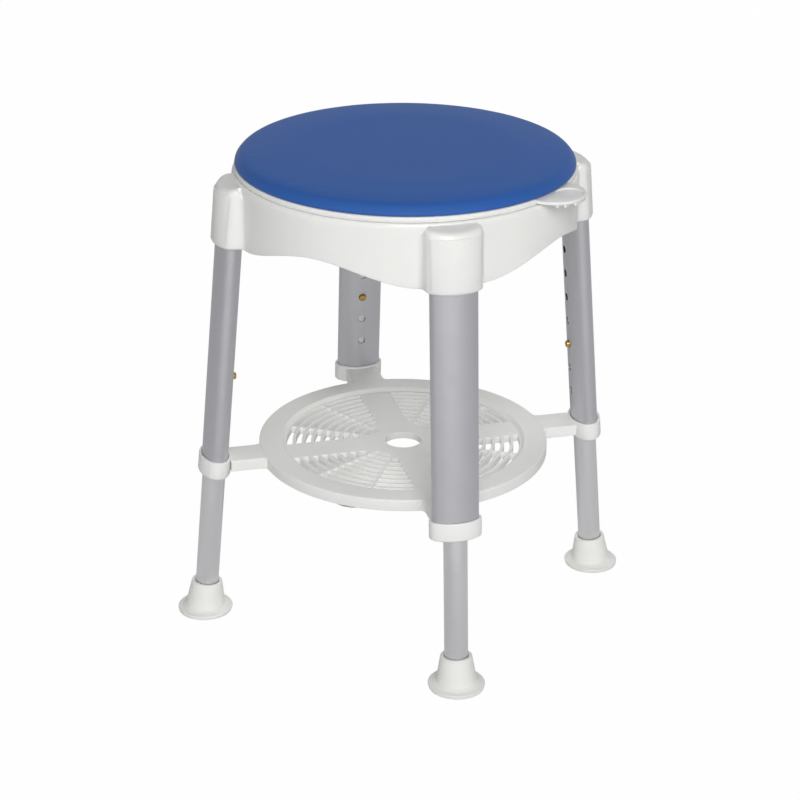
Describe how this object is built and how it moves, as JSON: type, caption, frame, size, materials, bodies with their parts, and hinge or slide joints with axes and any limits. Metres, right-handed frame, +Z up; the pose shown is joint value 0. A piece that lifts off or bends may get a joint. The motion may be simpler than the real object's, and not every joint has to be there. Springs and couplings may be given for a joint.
{
  "type": "shower stool",
  "caption": "Round swivelling shower stool with a padded seat, a lock tab at its rim, a slotted shelf and telescopic legs on rubber feet.",
  "frame": {"origin": "on the floor, at the centre of the feet, under the swivel axis", "axes": "+Z up along the swivel axis, +X towards the lock tab at the rim, +Y towards the rear legs"},
  "size_m": [0.3607, 0.3434, 0.4665],
  "materials": {
    "pad_foam": "matte closed-cell foam",
    "white_plastic": "fine satin moulding",
    "acetal": "smooth",
    "nylon": "moulded",
    "aluminium": "satin anodised",
    "brass": "polished",
    "steel": "plain",
    "spring_steel": "plain",
    "foot_rubber": "matte"
  },
  "bodies": {
    "frame": {"seat_base": "white_plastic", "shelf_tray": "white_plastic", "glide_ring": "acetal", "thrust_washer": "acetal", "pivot_bolt": "steel", "nut_washer": "steel", "lock_nut": "steel", "outer_leg_front_left": "aluminium", "leg_bush_front_left": "nylon", "leg_screw_front_left": "steel", "outer_leg_front_right": "aluminium", "leg_bush_front_right": "nylon", "leg_screw_front_right": "steel", "outer_leg_rear_right": "aluminium", "leg_bush_rear_right": "nylon", "leg_screw_rear_right": "steel", "outer_leg_rear_left": "aluminium", "leg_bush_rear_left": "nylon", "leg_screw_rear_left": "steel"},
    "seat": {"swivel_plate": "white_plastic", "seat_pad": "pad_foam"},
    "seat_lock": {"lock_tab": "white_plastic"},
    "leg_front_left": {"leg_extension_front_left": "aluminium", "leg_guide_front_left": "nylon", "button_spring_front_left": "spring_steel", "foot_front_left": "foot_rubber"},
    "button_front_left": {"snap_button_front_left": "brass"},
    "leg_front_right": {"leg_extension_front_right": "aluminium", "leg_guide_front_right": "nylon", "button_spring_front_right": "spring_steel", "foot_front_right": "foot_rubber"},
    "button_front_right": {"snap_button_front_right": "brass"},
    "leg_rear_right": {"leg_extension_rear_right": "aluminium", "leg_guide_rear_right": "nylon", "button_spring_rear_right": "spring_steel", "foot_rear_right": "foot_rubber"},
    "button_rear_right": {"snap_button_rear_right": "brass"},
    "leg_rear_left": {"leg_extension_rear_left": "aluminium", "leg_guide_rear_left": "nylon", "button_spring_rear_left": "spring_steel", "foot_rear_left": "foot_rubber"},
    "button_rear_left": {"snap_button_rear_left": "brass"}
  },
  "joints": [
    {"name": "seat_swivel", "type": "hinge", "parent": "frame", "child": "seat", "pos_m": [0, 0, 0.4492], "axis": [0, 0, 1], "continuous": true},
    {"name": "seat_lock_slide", "type": "slide", "parent": "seat", "child": "seat_lock", "axis": [1, 0, 0], "range_m": [-0.006, 0]},
    {"name": "leg_slide_front_left", "type": "slide", "parent": "frame", "child": "leg_front_left", "axis": [-0.0603, -0.0603, -0.9964], "range_m": [-0.1016, 0.0508]},
    {"name": "button_push_front_left", "type": "slide", "parent": "leg_front_left", "child": "button_front_left", "axis": [-0.7045, -0.7045, 0.0852], "range_m": [0, 0.0042], "stiffness_N_per_m": 1500, "springref_m": -0.003, "deforming": ["button_spring_front_left"]},
    {"name": "leg_slide_front_right", "type": "slide", "parent": "frame", "child": "leg_front_right", "axis": [0.0603, -0.0603, -0.9964], "range_m": [-0.1016, 0.0508]},
    {"name": "button_push_front_right", "type": "slide", "parent": "leg_front_right", "child": "button_front_right", "axis": [0.7045, -0.7045, 0.0852], "range_m": [0, 0.0042], "stiffness_N_per_m": 1500, "springref_m": -0.003, "deforming": ["button_spring_front_right"]},
    {"name": "leg_slide_rear_right", "type": "slide", "parent": "frame", "child": "leg_rear_right", "axis": [0.0603, 0.0603, -0.9964], "range_m": [-0.1016, 0.0508]},
    {"name": "button_push_rear_right", "type": "slide", "parent": "leg_rear_right", "child": "button_rear_right", "axis": [0.7045, 0.7045, 0.0852], "range_m": [0, 0.0042], "stiffness_N_per_m": 1500, "springref_m": -0.003, "deforming": ["button_spring_rear_right"]},
    {"name": "leg_slide_rear_left", "type": "slide", "parent": "frame", "child": "leg_rear_left", "axis": [-0.0603, 0.0603, -0.9964], "range_m": [-0.1016, 0.0508]},
    {"name": "button_push_rear_left", "type": "slide", "parent": "leg_rear_left", "child": "button_rear_left", "axis": [-0.7045, 0.7045, 0.0852], "range_m": [0, 0.0042], "stiffness_N_per_m": 1500, "springref_m": -0.003, "deforming": ["button_spring_rear_left"]}
  ]
}
